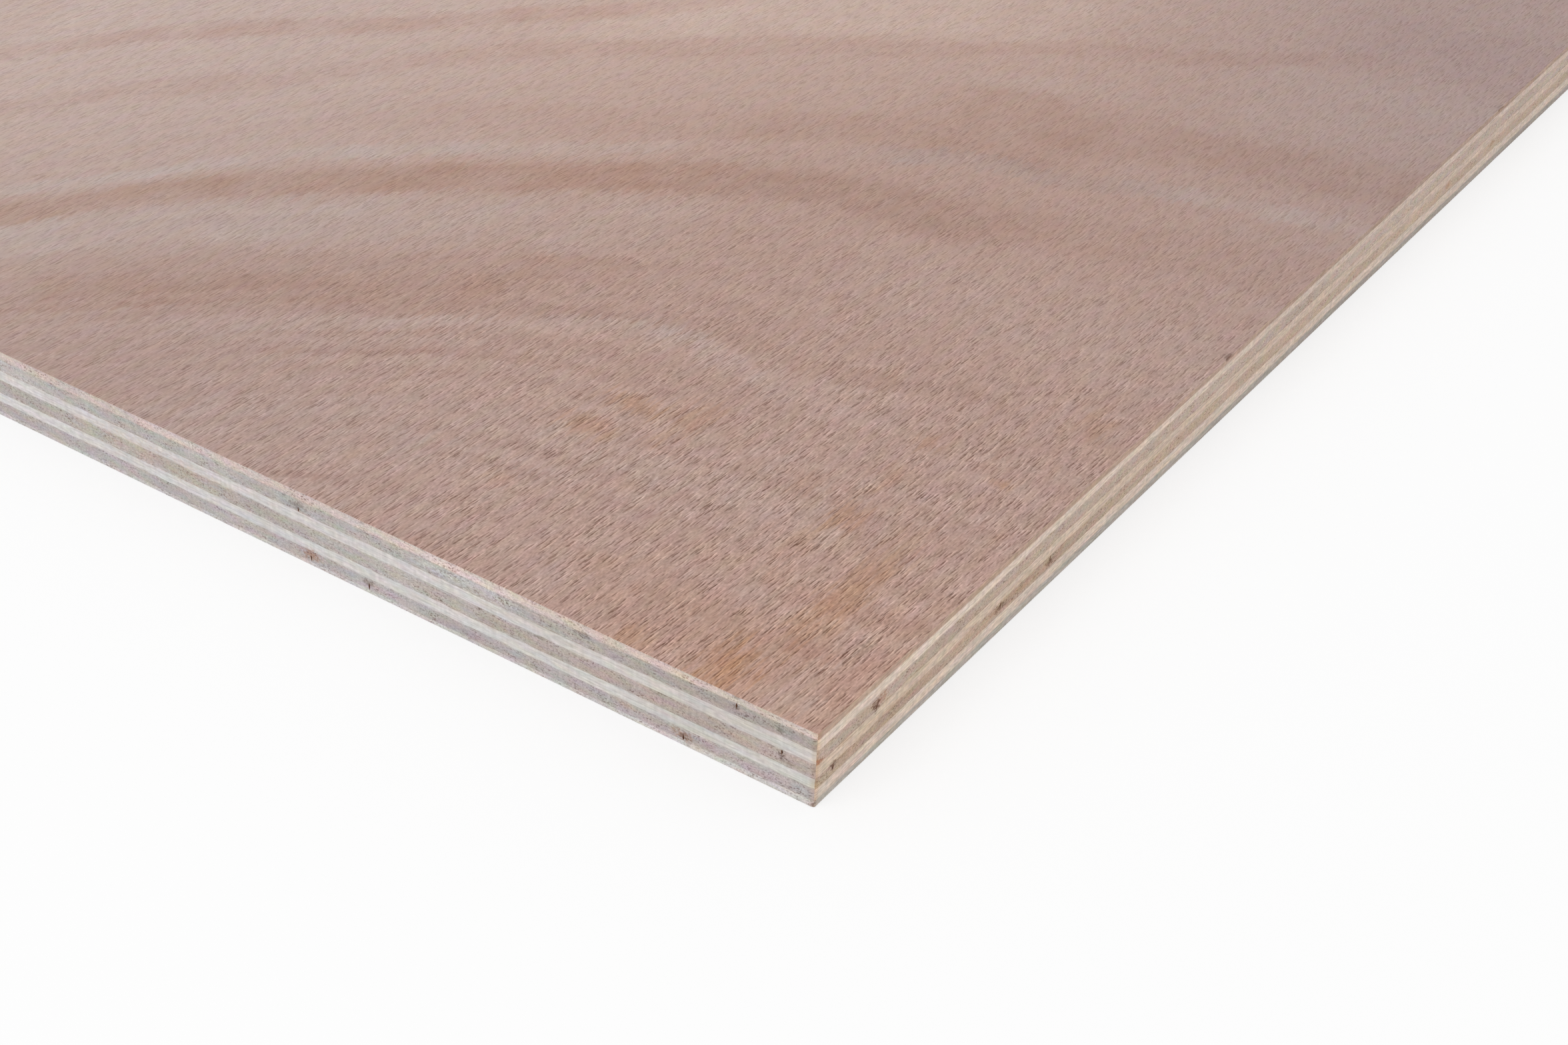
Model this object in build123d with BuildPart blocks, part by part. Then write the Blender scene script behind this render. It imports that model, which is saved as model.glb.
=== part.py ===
from build123d import *
import os

os.makedirs("parts", exist_ok=True)

# A sheet of seven-ply hardwood plywood, lying flat. Millimetres, +Z up.
# X runs along the length of the sheet, as the pores of its show face do, and Y across its width.
# The origin is the centre of the underside.

# Sawn size of the sheet
sheet_length = 2440.0
sheet_width = 1220.0

# Thickness of each veneer, as it was peeled and pressed. The grain of a long ply runs
# along the length of the sheet, and the grain of a cross ply runs across it.
face_thickness = 1.1
upper_long_ply_thickness = 1.8
upper_cross_ply_thickness = 2.1
centre_ply_thickness = 2.2
lower_cross_ply_thickness = 1.8
lower_long_ply_thickness = 1.9
back_thickness = 1.1

# The sander takes the sharpness off the outer arrises
arris_radius = 0.2

# Core gaps: an inner ply is laid up from strips of veneer. Where two strips don't
# quite meet, the saw opens a narrow slot that runs in along their grain.
gap_width = 0.6
gap_depth = 35.0

# Where the gaps come out, measured from the sheet's near corner (-X, -Y).
# Plies with their grain along the length open on the end, at places along Y.
upper_long_ply_gaps = [12.3, 87.2]
centre_ply_gaps = [5.2]
lower_long_ply_gaps = [20.4, 74.5, 85.4]
# Plies with their grain across the sheet open on the long side, at places along X.
upper_cross_ply_gaps = [13.8]
lower_cross_ply_gaps = [4.0, 45.6, 59.5]

# Each veneer lies on the one below it, from the back up to the show face
back_underside = 0.0
lower_long_ply_underside = back_underside + back_thickness
lower_cross_ply_underside = lower_long_ply_underside + lower_long_ply_thickness
centre_ply_underside = lower_cross_ply_underside + lower_cross_ply_thickness
upper_cross_ply_underside = centre_ply_underside + centre_ply_thickness
upper_long_ply_underside = upper_cross_ply_underside + upper_cross_ply_thickness
face_underside = upper_long_ply_underside + upper_long_ply_thickness

near_end = -sheet_length / 2
near_side = -sheet_width / 2


def inner_ply(label, underside, thickness, gap_centres, gap_size):
    """One inner veneer, the full size of the sheet, with its core gaps sawn open."""
    with BuildPart() as ply:
        with BuildSketch(Plane.XY.offset(underside)):
            Rectangle(sheet_length, sheet_width)
            with Locations(*gap_centres):
                Rectangle(*gap_size, mode=Mode.SUBTRACT)
        extrude(amount=thickness)
    ply.part.label = label
    export_step(ply.part, f"parts/{label}.step")


def ply_along_length(label, underside, thickness, gaps):
    """An inner veneer with its grain along X: its gaps open on the near end."""
    centres = [(near_end + gap_depth / 2, near_side + place) for place in gaps]
    inner_ply(label, underside, thickness, centres, (gap_depth, gap_width))


def ply_across_width(label, underside, thickness, gaps):
    """An inner veneer with its grain along Y: its gaps open on the near long side."""
    centres = [(near_end + place, near_side + gap_depth / 2) for place in gaps]
    inner_ply(label, underside, thickness, centres, (gap_width, gap_depth))


# Show face: the veneer that is looked at, with its upper arrises eased
with BuildPart() as face_veneer:
    with BuildSketch(Plane.XY.offset(face_underside)):
        Rectangle(sheet_length, sheet_width)
    extrude(amount=face_thickness)
    upper_arrises = face_veneer.faces().sort_by(Axis.Z)[-1].edges()
    fillet(upper_arrises, radius=min(arris_radius, 0.4 * face_thickness))
face_veneer.part.label = "face_veneer"
export_step(face_veneer.part, "parts/face_veneer.step")

# Inner plies, from the top down, each crossing the grain of the next
ply_along_length(
    "upper_long_ply", upper_long_ply_underside, upper_long_ply_thickness, upper_long_ply_gaps
)
ply_across_width(
    "upper_cross_ply", upper_cross_ply_underside, upper_cross_ply_thickness, upper_cross_ply_gaps
)
ply_along_length("centre_ply", centre_ply_underside, centre_ply_thickness, centre_ply_gaps)
ply_across_width(
    "lower_cross_ply", lower_cross_ply_underside, lower_cross_ply_thickness, lower_cross_ply_gaps
)
ply_along_length(
    "lower_long_ply", lower_long_ply_underside, lower_long_ply_thickness, lower_long_ply_gaps
)

# Back: the thin veneer that the sheet lies on, with its lower arrises eased
with BuildPart() as back_veneer:
    with BuildSketch(Plane.XY.offset(back_underside)):
        Rectangle(sheet_length, sheet_width)
    extrude(amount=back_thickness)
    lower_arrises = back_veneer.faces().sort_by(Axis.Z)[0].edges()
    fillet(lower_arrises, radius=min(arris_radius, 0.4 * back_thickness))
back_veneer.part.label = "back_veneer"
export_step(back_veneer.part, "parts/back_veneer.step")
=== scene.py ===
# %% [markdown]
# # A sheet of plywood, looked at over its near corner
# The real sheet is seven veneers pressed together and sawn square. Its edges show the veneers as
# stripes, and every second stripe is darker, because there the saw cut across the pores.
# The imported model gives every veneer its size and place. The cells below turn each one into a
# piece with sawn edges and give it its wood.

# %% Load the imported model
import math
import bmesh
import bpy
from mathutils import Color, Matrix, Vector, noise


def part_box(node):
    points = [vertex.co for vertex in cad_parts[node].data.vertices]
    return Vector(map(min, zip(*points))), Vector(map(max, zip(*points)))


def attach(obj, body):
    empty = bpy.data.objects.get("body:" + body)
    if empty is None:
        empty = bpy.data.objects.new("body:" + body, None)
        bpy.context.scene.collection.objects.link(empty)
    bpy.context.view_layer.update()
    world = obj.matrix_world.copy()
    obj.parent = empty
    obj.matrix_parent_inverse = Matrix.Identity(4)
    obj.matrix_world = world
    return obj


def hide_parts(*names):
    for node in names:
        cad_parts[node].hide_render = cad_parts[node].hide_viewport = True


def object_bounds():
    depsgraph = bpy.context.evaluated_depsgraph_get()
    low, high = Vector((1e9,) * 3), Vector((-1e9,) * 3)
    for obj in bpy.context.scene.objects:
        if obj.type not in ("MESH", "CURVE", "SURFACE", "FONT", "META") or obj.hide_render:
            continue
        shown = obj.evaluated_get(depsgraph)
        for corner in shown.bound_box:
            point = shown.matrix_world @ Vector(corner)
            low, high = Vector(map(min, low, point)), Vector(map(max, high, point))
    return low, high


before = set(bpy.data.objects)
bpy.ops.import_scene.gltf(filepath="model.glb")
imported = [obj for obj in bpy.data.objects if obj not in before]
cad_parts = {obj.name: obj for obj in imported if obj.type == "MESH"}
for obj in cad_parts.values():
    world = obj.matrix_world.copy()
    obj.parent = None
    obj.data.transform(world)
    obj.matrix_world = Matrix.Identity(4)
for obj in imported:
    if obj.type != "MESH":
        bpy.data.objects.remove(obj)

cad_low, cad_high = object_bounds()
MM = 0.001
sheet_mm = (cad_high - cad_low) / MM
print("sheet in mm:", [round(side, 1) for side in sheet_mm])

# %% [markdown]
# ## Where things are measured from
# A joiner measures a sheet from one corner. The model's own origin lies under the middle of the
# sheet, more than a metre from anything that the picture shows, so its places would be awkward
# numbers. Here X runs along the length from the near corner, Y across the width, and Z is the
# height above the underside.

# %% The near corner and the stack of veneers
near_corner = Vector((cad_low.x, cad_low.y, cad_high.z))
stack = [
    "face_veneer",
    "upper_long_ply",
    "upper_cross_ply",
    "centre_ply",
    "lower_cross_ply",
    "lower_long_ply",
    "back_veneer",
]
for veneer in stack:
    low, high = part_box(veneer)
    print(f"{veneer}: {low.z / MM:.1f} to {high.z / MM:.1f} mm")

# %% [markdown]
# ## The camera
# The picture is taken close, from about 30 cm, with a longish lens, so that both sawn edges run
# away from the corner. A camera can be placed by eye in the viewport, but here its place is an
# offset from the near corner, which keeps the view if the sheet changes size. A point on the
# face gives its direction, and a few degrees of roll about the line of sight finish it.

# %% Camera
camera_from_corner = Vector((-198.1, -121.6, 192.2)) * MM
aim_from_corner = Vector((35.2, 29.3, 0.0)) * MM
camera_roll = math.radians(2.79)

lens = bpy.data.cameras.new("view")
lens.sensor_width = 36.0
lens.lens = 56.2
lens.clip_start = 0.01
lens.clip_end = 50.0
camera = bpy.data.objects.new("view", lens)
bpy.context.scene.collection.objects.link(camera)
bpy.context.scene.camera = camera

line_of_sight = aim_from_corner - camera_from_corner
roll = Matrix.Rotation(camera_roll, 4, "Z")
turn = line_of_sight.to_track_quat("-Z", "Y").to_matrix().to_4x4() @ roll
camera.matrix_world = Matrix.Translation(near_corner + camera_from_corner) @ turn
print("camera height above the floor in mm:", round(camera.matrix_world.translation.z / MM, 1))

# %% [markdown]
# ## Light
# Building boards are usually photographed in light so soft that it hardly leaves a shadow. A
# ring of lamps could give that, but a bright, even sky is simpler and softer, and one large lamp
# beside it keeps the two edges from looking alike. The sky that the camera sees is plain white,
# and a little brighter than the one that lights the sheet.

# %% Light
scene = bpy.context.scene
scene.view_settings.view_transform = "Standard"

white = (1.0, 1.0, 1.0, 1.0)
sky_strength = 0.82
backdrop_strength = 1.0
world = bpy.data.worlds.new("soft_sky")
scene.world = world
world.use_nodes = True
links = world.node_tree.links
sky = world.node_tree.nodes["Background"]
sky.inputs["Color"].default_value = white
sky.inputs["Strength"].default_value = sky_strength
backdrop = world.node_tree.nodes.new("ShaderNodeBackground")
backdrop.inputs["Color"].default_value = white
backdrop.inputs["Strength"].default_value = backdrop_strength
seen = world.node_tree.nodes.new("ShaderNodeLightPath")
choose = world.node_tree.nodes.new("ShaderNodeMixShader")
links.new(seen.outputs["Is Camera Ray"], choose.inputs[0])
links.new(sky.outputs[0], choose.inputs[1])
links.new(backdrop.outputs[0], choose.inputs[2])
links.new(choose.outputs[0], world.node_tree.nodes["World Output"].inputs[0])

lamp_power = 40.0
lamp_side = 2.5
lamp_from_corner = Vector((-2.2, 0.6, 2.4))
lamp_data = bpy.data.lights.new("softbox", "AREA")
lamp_data.shape = "SQUARE"
lamp_data.size = lamp_side
lamp_data.energy = lamp_power
lamp = bpy.data.objects.new("softbox", lamp_data)
scene.collection.objects.link(lamp)
lamp.location = near_corner + lamp_from_corner
lamp.rotation_euler = (-lamp_from_corner).to_track_quat("-Z", "Y").to_euler()
print("lamp height above the floor in m:", round(lamp.location.z - cad_low.z, 2))

# %% [markdown]
# ## Floor
# The sheet lies on a white floor, and a matt white plane comes out grey in this light. More
# light would bleach the wood with it. So for the camera alone most of the floor's white is a
# plain glow, and the rest stays matt and still takes the sheet's shadow.

# %% Floor
floor_size = 30.0
floor_glow = 0.7
floor_paint = (0.9, 0.9, 0.9, 1.0)
floor_roughness = 0.9
floor_shape = bmesh.new()
bmesh.ops.create_grid(
    floor_shape,
    x_segments=1,
    y_segments=1,
    size=floor_size / 2,
    matrix=Matrix.Translation((0.0, 0.0, cad_low.z)),
)
floor_mesh = bpy.data.meshes.new("floor")
floor_shape.to_mesh(floor_mesh)
floor_shape.free()
floor = bpy.data.objects.new("floor", floor_mesh)
scene.collection.objects.link(floor)

floor_white = bpy.data.materials.new("white_floor")
floor_white.use_nodes = True
nodes, links = floor_white.node_tree.nodes, floor_white.node_tree.links
matt = nodes["Principled BSDF"]
matt.inputs["Base Color"].default_value = floor_paint
matt.inputs["Roughness"].default_value = floor_roughness
matt.inputs["Specular IOR Level"].default_value = 0.0
glow = nodes.new("ShaderNodeEmission")
glow.inputs["Strength"].default_value = 1.0
share = nodes.new("ShaderNodeMath")
share.operation = "MULTIPLY"
share.inputs[1].default_value = floor_glow
mixed = nodes.new("ShaderNodeMixShader")
links.new(nodes.new("ShaderNodeLightPath").outputs["Is Camera Ray"], share.inputs[0])
links.new(share.outputs[0], mixed.inputs[0])
links.new(matt.outputs[0], mixed.inputs[1])
links.new(glow.outputs[0], mixed.inputs[2])
links.new(mixed.outputs[0], nodes["Material Output"].inputs[0])
floor_mesh.materials.append(floor_white)
print("floor at", round(cad_low.z, 4), "m")

# %% [markdown]
# ## Short words for nodes
# A wood is a pile of simple patterns: long fibres, short pores, broad rings, stains. A picture
# wrapped on the sheet would blur up close and repeat far off, so all of them are worked out by
# nodes. Written out node by node that would fill pages, so one small class gives each kind of
# node a short word. Every pattern starts from x, y and z, the Object coordinates in millimetres
# from the near corner, so all seven veneers share one ruler and a size in the code is a size on
# the sheet.

# %% A finish
def paint(red, green, blue):
    """A colour given in screen levels, 0 to 255, as the linear colour that shaders mix."""
    return tuple(Color((red / 255, green / 255, blue / 255)).from_srgb_to_scene_linear())


bare_wood_gloss = 0.2
# How far a pattern starts across its grain for each step that its seed moves it along
seed_slant = 1.7
# Specks: how far each row slips along the next, how freely they lie, how blurred a lit edge is
row_slip = 0.38
scatter = 0.9
lit_blur = 1.5
# Stains: the shares of the reach where a stain starts to fade and where it ends
stain_fades = (0.1, 1.1)
no_change = (0.0, 0.0, 0.0)


class Finish:
    """One material, with a short word for each kind of node that a wood needs."""

    def __init__(self, name):
        self.material = bpy.data.materials.new(name)
        self.material.use_nodes = True
        self.nodes = self.material.node_tree.nodes
        self.links = self.material.node_tree.links
        self.surface = self.nodes["Principled BSDF"]
        self.surface.inputs["Specular IOR Level"].default_value = bare_wood_gloss
        ruler = self.node(
            "Mapping",
            {
                0: self.nodes.new("ShaderNodeTexCoord").outputs["Object"],
                "Location": (-cad_low.x / MM, -cad_low.y / MM, -cad_low.z / MM),
                "Scale": (1 / MM, 1 / MM, 1 / MM),
            },
        )
        self.x, self.y, self.z = self.node("SeparateXYZ", {0: ruler.outputs[0]}).outputs

    def node(self, kind, inputs, **settings):
        """Adds a node. Each input is a socket to link from or a value to set."""
        made = self.nodes.new("ShaderNode" + kind)
        for setting, value in settings.items():
            setattr(made, setting, value)
        for socket, value in inputs.items():
            if isinstance(value, bpy.types.NodeSocket):
                self.links.new(value, made.inputs[socket])
            else:
                made.inputs[socket].default_value = value
        return made

    def math(self, operation, *values):
        return self.node("Math", dict(enumerate(values)), operation=operation).outputs[0]

    def total(self, first, *others):
        """The sum of some numbers."""
        for other in others:
            first = self.math("ADD", first, other)
        return first

    def times(self, first, second):
        return self.math("MULTIPLY", first, second)

    def rest(self, share):
        """What a share leaves of 1."""
        return self.math("SUBTRACT", 1.0, share)

    def flat(self, along, across):
        """A place on a surface, from its two coordinates in mm."""
        return self.node("CombineXYZ", {0: along, 1: across}).outputs[0]

    def ramp(self, value, start, end, low=0.0, high=1.0):
        """Turns a number from start to end into one from low to high, with soft shoulders."""
        inputs = {0: value, 1: start, 2: end, 3: low, 4: high}
        return self.node("MapRange", inputs, interpolation_type="SMOOTHSTEP").outputs[0]

    def curve(self, value, points):
        """Reads a number off a smooth curve through some points, each (value, result)."""
        start, end = points[0][0], points[-1][0]
        low = min(result for _, result in points)
        high = max(result for _, result in points)
        share = self.node("MapRange", {0: value, 1: start, 2: end}).outputs[0]
        made = self.node("FloatCurve", {"Value": share})
        curve = made.mapping.curves[0]
        for _ in points[2:]:
            curve.points.new(0.5, 0.5)
        for point, (at, result) in zip(curve.points, points):
            point.location = ((at - start) / (end - start), (result - low) / (high - low))
        made.mapping.update()
        return self.node("MapRange", {0: made.outputs[0], 3: low, 4: high}).outputs[0]

    def squares(self, place, size, seed=0.0):
        """A place counted in cells of a size (along, across), from a start that a seed sets."""
        start = (seed, seed_slant * seed, 0.0)
        scale = (1 / size[0], 1 / size[1], 1.0)
        return self.node("Mapping", {0: place, "Location": start, "Scale": scale}).outputs[0]

    def soft_noise(self, place, size, detail, seed=0.0):
        """The noise node behind cloud and mottle."""
        inputs = {"Vector": self.squares(place, size, seed), "Scale": 1.0, "Detail": detail}
        return self.node("TexNoise", inputs, noise_dimensions="2D", normalize=False)

    def cloud(self, place, size, detail=2.0, seed=0.0):
        """Soft random light and dark, about -1 to 1, in blotches of a size (along, across)."""
        return self.soft_noise(place, size, detail, seed).outputs[0]

    def push(self, place, size, reach, detail=2.0, seed=0.0):
        """A random push either way, of about a reach, in waves of a size."""
        return self.times(self.cloud(place, size, detail, seed), reach)

    def uneven(self, place, size, change, middle=1.0, detail=2.0, seed=0.0):
        """A strength that changes at random around a middle."""
        return self.math("MULTIPLY_ADD", self.cloud(place, size, detail, seed), change, middle)

    def wash(self, slope, start, end):
        """0 to 1 in a slanting direction. The slope is how much a mm along X and Y counts."""
        along, across = slope
        way = self.total(self.times(self.x, along), self.times(self.y, across))
        return self.ramp(way, start, end)

    def specks(self, place, size, radii, soft, lit=0.0, seed=0.0):
        """Scattered marks, 1 inside and 0 outside, one in each cell of a size. Their radii are
        shares of the cell, so a long cell gives dashes. The second result is the same marks
        moved sideways by the share lit, less the marks themselves: their lit edges."""
        along, across, _ = self.node("SeparateXYZ", {0: self.squares(place, size, seed)}).outputs
        slipped = self.flat(self.math("MULTIPLY_ADD", across, row_slip, along), across)
        inputs = {"Vector": slipped, "Scale": 1.0, "Randomness": scatter}
        cells = self.node("TexVoronoi", inputs, voronoi_dimensions="2D")
        luck = self.node("SeparateXYZ", {0: cells.outputs["Color"]}).outputs[0]
        smallest, largest = radii
        radius = self.math("MULTIPLY_ADD", luck, largest - smallest, smallest)
        outside = self.math("SUBTRACT", cells.outputs["Distance"], radius)
        inside = self.ramp(outside, -soft, soft, 1.0, 0.0)
        if not lit:
            return inside, None
        ends = {0: slipped, 1: cells.outputs["Position"]}
        offset = self.node("VectorMath", ends, operation="SUBTRACT").outputs[0]
        beside = self.node("VectorMath", {0: offset, 1: (0.0, lit, 0.0)}, operation="ADD").outputs[0]
        outside = self.math("SUBTRACT", self.length(beside), radius)
        edge = self.ramp(outside, -soft, lit_blur * soft, 1.0, 0.0)
        return inside, self.times(edge, self.rest(inside))

    def length(self, place):
        """How far a place is from where its coordinates start."""
        return self.node("VectorMath", {0: place}, operation="LENGTH").outputs["Value"]

    def stain(self, place, ragged, middle, reach, strength):
        """One soft mark around a middle point, 0 outside its reach."""
        offset = self.node("VectorMath", {0: place, 1: (*middle, 0.0)}, operation="SUBTRACT")
        shares = self.node(
            "VectorMath", {0: offset.outputs[0], 1: (*reach, 1.0)}, operation="DIVIDE"
        )
        far = self.total(self.length(shares.outputs[0]), ragged)
        return self.ramp(far, *stain_fades, strength, 0.0)

    def blend(self, share, first, second):
        """Goes from one colour to another as share goes from 0 to 1."""
        return self.node("Mix", {0: share, 4: first, 5: second}, data_type="VECTOR").outputs[1]

    def more(self, so_far, tone, change):
        """Adds a change of colour, as much as tone says, to the changes so far."""
        inputs = {0: tone, 1: change, 2: so_far}
        return self.node("VectorMath", inputs, operation="MULTIPLY_ADD").outputs[0]

    def tint(self, colour, tone, change):
        """Changes a colour by a share of each channel, as much as tone says."""
        gain = self.more((1.0, 1.0, 1.0), tone, change)
        return self.node("VectorMath", {0: colour, 1: gain}, operation="MULTIPLY").outputs[0]

    def mottle(self, colour, place, size, change):
        """Changes red, green and blue each by a soft random share of its own."""
        tones = self.soft_noise(place, size, detail=1.0).outputs["Color"]
        return self.tint(colour, tones, change)

    def wear(self, colour, height, depth, roughness):
        """Connects the finished colour, a height in 0 to 1 as a relief so many mm deep, and
        the roughness at the bottom and at the top of that relief."""
        self.links.new(colour, self.surface.inputs["Base Color"])
        self.links.new(self.ramp(height, 0.0, 1.0, *roughness), self.surface.inputs["Roughness"])
        relief = self.node("Bump", {"Height": height, "Distance": depth * MM})
        self.links.new(relief.outputs[0], self.surface.inputs["Normal"])
        return self.material


# %% [markdown]
# ## Sawn edges in the mesh
# A packed veneer is a slab of a few large triangles, and roughness needs many small ones.
# Divided evenly, the sheet would have hundreds of millions of them, most of them in the middle
# of a face that is flat on the real sheet too. So the copy of a slab is merged back into whole
# faces and cut by planes: a narrow rim inside each edge, rows through the thickness, and a limit
# between the near stretch, which the picture shows from close by, and the rest. Only the edges
# in the rim are divided finely, and the middle is filled with plain triangles.

# %% Cut and divide one veneer
length_mm, width_mm, height_mm = sheet_mm
rim = 3.0
fine_step = 0.3
coarse_step = 5.0
# How far the fine steps go along a long side and along an end
fine_reach = (320.0, 180.0)
row_height = 0.35
arris_zone = 0.3
gap_mouth = 0.8
touching = 0.001
on_a_plane = 0.0001
same_plane = math.radians(1.0)
# The share of an edge or a normal that lies along an axis, if it counts as square to the rest
square_on = 0.9
outer_veneers = ("face_veneer", "back_veneer")


def cut(bm, axis, at_mm):
    """Cuts all faces by the plane across an axis, so many mm from the near corner."""
    normal = Vector([float(axis == number) for number in range(3)])
    place = cad_low + normal * at_mm * MM
    geometry = bm.verts[:] + bm.edges[:] + bm.faces[:]
    bmesh.ops.bisect_plane(
        bm, geom=geometry, plane_co=place, plane_no=normal, dist=on_a_plane * MM
    )


def in_mm(point):
    """A point of the mesh, in mm from the near corner of the underside."""
    return (point - cad_low) / MM


def depth_inside(point):
    """How far a point lies inside the nearest end and the nearest long side, in mm."""
    x, y, _ = in_mm(point)
    return min(x, length_mm - x), min(y, width_mm - y)


def divide(bm, axis):
    """Divides the rim's edges that run along an axis, finely near the corner."""
    across = 1 - axis
    groups = {}
    for edge in bm.edges:
        start, end = (in_mm(vert.co) for vert in edge.verts)
        span = abs(end[axis] - start[axis])
        inside = max(depth_inside(vert.co)[across] for vert in edge.verts)
        if span < square_on * (end - start).length or inside > rim + touching:
            continue
        middle = (start[axis] + end[axis]) / 2
        near = middle < fine_reach[axis] and max(start[across], end[across]) < rim + touching
        step = fine_step if near else coarse_step
        cells = round(span / step)
        if cells > 1:
            groups.setdefault(cells - 1, []).append(edge)
    for cuts, edges in groups.items():
        bmesh.ops.subdivide_edges(bm, edges=edges, cuts=cuts, use_grid_fill=True)


def fill_level(bm, at_mm):
    """Fills the open middle of a slab at one height with flat triangles."""
    open_edges = [
        edge
        for edge in bm.edges
        if edge.is_boundary
        and all(abs(in_mm(vert.co).z - at_mm) < touching for vert in edge.verts)
    ]
    bmesh.ops.triangle_fill(bm, edges=open_edges, use_beauty=False)


def sawn_slab(node):
    """A veneer as a closed mesh with a finely divided rim."""
    bm = bmesh.new()
    bm.from_mesh(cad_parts[node].data)
    bmesh.ops.remove_doubles(bm, verts=bm.verts, dist=touching * MM)
    bmesh.ops.dissolve_limit(
        bm, angle_limit=same_plane, verts=bm.verts[:], edges=bm.edges[:]
    )
    low, high = (in_mm(corner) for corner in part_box(node))
    rows = round((high.z - low.z) / row_height)
    for row in range(1, rows):
        cut(bm, 2, low.z + (high.z - low.z) * row / rows)
    insides = (arris_zone if node in outer_veneers else gap_mouth, rim)
    for inside in insides:
        for axis in (0, 1):
            cut(bm, axis, inside)
            cut(bm, axis, sheet_mm[axis] - inside)
    for axis in (0, 1):
        cut(bm, axis, rim + fine_step)
        cut(bm, axis, fine_reach[axis])
    middle = [
        face
        for face in bm.faces
        if abs(face.normal.z) > square_on and min(depth_inside(face.calc_center_median())) > rim
    ]
    bmesh.ops.delete(bm, geom=middle, context="FACES_ONLY")
    divide(bm, 0)
    divide(bm, 1)
    fill_level(bm, low.z)
    fill_level(bm, high.z)
    bmesh.ops.recalc_face_normals(bm, faces=bm.faces)
    return bm


slabs = {node: sawn_slab(node) for node in stack}
for node, bm in slabs.items():
    print(node, "faces:", len(bm.faces), "open edges:", sum(e.is_boundary for e in bm.edges))

# %% [markdown]
# ## Glue lines that wander
# Veneer is soft and wet when it is pressed, so a glue line is never ruled straight. Along the
# near end of this sheet the lines run a little low, and along the near side a little high. The
# stripes could be painted on one plain edge, but here each is the edge of its own veneer, so the
# mesh itself is moved. Each line gets its drift in mm at the corner, along the end and along the
# side, plus a small random wander, and dies out to its nominal height further off. Both veneers
# at a line read the same drift, so they stay closed against each other. Only the rim moves.

# %% Drift of the glue lines
drifts = {
    "upper_long_ply": (0.1, -0.35, 0.15),
    "upper_cross_ply": (0.05, -0.55, 0.6),
    "centre_ply": (0.05, -0.3, 0.4),
    "lower_cross_ply": (0.0, -0.4, 0.75),
    "lower_long_ply": (0.05, -0.4, 0.5),
    "back_veneer": (0.0, -0.4, 0.45),
}
settles_along_end = 42.0
settles_along_side = 60.0
fades_from = 300.0
fades_to = 600.0
glue_wander = 0.09
# Length of a wave in mm, how fast it changes with height, and its share of the wander
glue_waves = [(24.0, 3.1, 1.0), (3.5, 5.3, 0.6), (0.9, 7.7, 0.4)]
glue_lines = {round(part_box(ply)[1].z / MM, 2): drift for ply, drift in drifts.items()}


def ease(value, start, end):
    """0 before start, 1 after end, and a soft rise between them."""
    share = min(max((value - start) / (end - start), 0.0), 1.0)
    return share * share * (3.0 - 2.0 * share)


def line_drift(line_mm, x, y):
    """How far the glue line of that nominal height lies above it, at a place on the edges."""
    at_corner, along_end, along_side = glue_lines[line_mm]
    to_end = ease(y, 0.0, settles_along_end) if x < rim else 0.0
    to_side = ease(x, 0.0, settles_along_side) if y < rim else 0.0
    drift = at_corner + (along_end - at_corner) * to_end + (along_side - at_corner) * to_side
    drift *= 1.0 - ease(max(x, y), fades_from, fades_to)
    wander = 0.0
    for wave, change, share in glue_waves:
        wander += share * noise.noise(Vector((x / wave, y / wave, line_mm * change)))
    return drift + glue_wander * wander


def pressed_height(ply_low, ply_high, x, y, z):
    """Where a point of a veneer's edge comes to lie in height, between its two glue lines."""
    share = (z - ply_low) / (ply_high - ply_low)
    below = line_drift(ply_low, x, y) if ply_low in glue_lines else 0.0
    above = line_drift(ply_high, x, y) if ply_high in glue_lines else 0.0
    return z + below * (1.0 - share) + above * share


print("glue lines at", sorted(glue_lines), "mm")

# %% [markdown]
# ## Core gaps
# An inner ply is laid up from strips of veneer, and where two strips don't quite meet, the saw
# opens a core gap. The imported model has each gap as a straight slot. On the real sheet the press
# has squeezed it: it is open at one height, nearly closed above and below, and narrower behind
# its mouth. A dark spot could be painted there, but the slot already has walls, so the walls are
# moved together, and the gap keeps a real shadow. Smoky marks on the sawn wood around the mouths,
# and a dark brown on the walls inside, add painted shade to that shadow.

# %% Squeeze the core gaps
long_plies = ("upper_long_ply", "centre_ply", "lower_long_ply")
gap_widest_at = {
    "upper_long_ply": (0.85, 0.1),
    "upper_cross_ply": (0.2,),
    "centre_ply": (0.85,),
    "lower_cross_ply": (0.6, 0.75, 0.7),
    "lower_long_ply": (0.25, 0.3, 0.35),
}
# About half the height of the open place, in mm, and the shares of the slot's width that stay
# open there and elsewhere
gap_lens = 0.30
gap_open = 0.55
gap_squeezed = 0.02
gap_narrows_over = 1.4 * gap_mouth


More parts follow.
